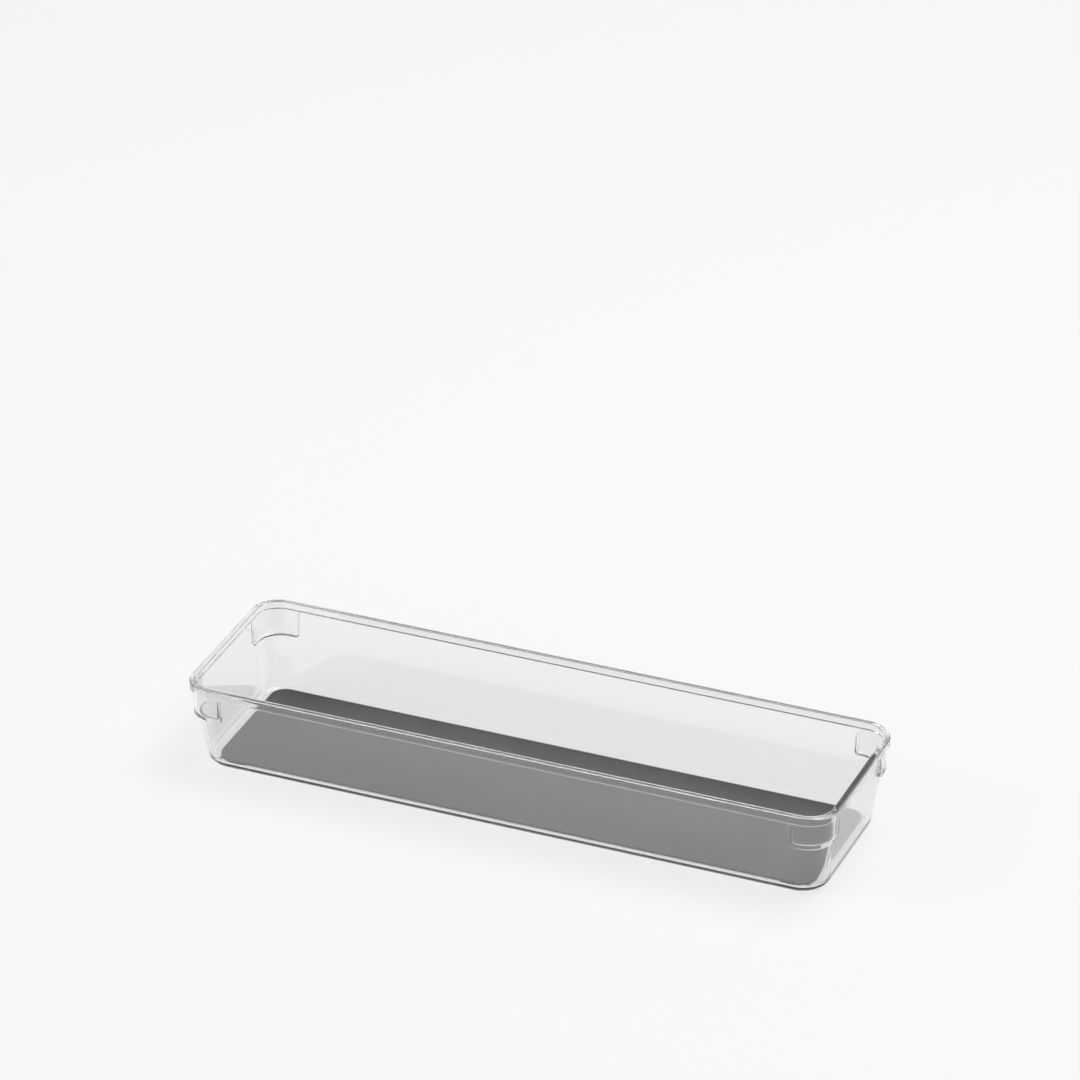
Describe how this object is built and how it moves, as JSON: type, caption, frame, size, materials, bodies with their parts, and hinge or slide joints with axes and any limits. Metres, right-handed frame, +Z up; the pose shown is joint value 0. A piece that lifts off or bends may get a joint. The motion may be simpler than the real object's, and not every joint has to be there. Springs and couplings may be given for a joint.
{
  "type": "drawer organizer",
  "caption": "Long shallow clear tray for a drawer, with a thick rim, stepped stacking corners, a soft grey floor mat and non-slip rubber feet.",
  "frame": {"origin": "middle of the footprint, on the plane that the feet stand on", "axes": "+X along the tray, +Y across it to the rear long side, +Z up out of the open mouth"},
  "size_m": [0.3048, 0.0888, 0.0427],
  "materials": {
    "clear_plastic": "clear, polished, injection moulded",
    "soft_mat": "soft matte, dark grey",
    "foot_rubber": "matte, grey"
  },
  "bodies": {
    "root": {"tray": "clear_plastic", "floor_mat": "soft_mat", "foot_front_left": "foot_rubber", "foot_front_right": "foot_rubber", "foot_rear_left": "foot_rubber", "foot_rear_right": "foot_rubber"}
  },
  "joints": []
}
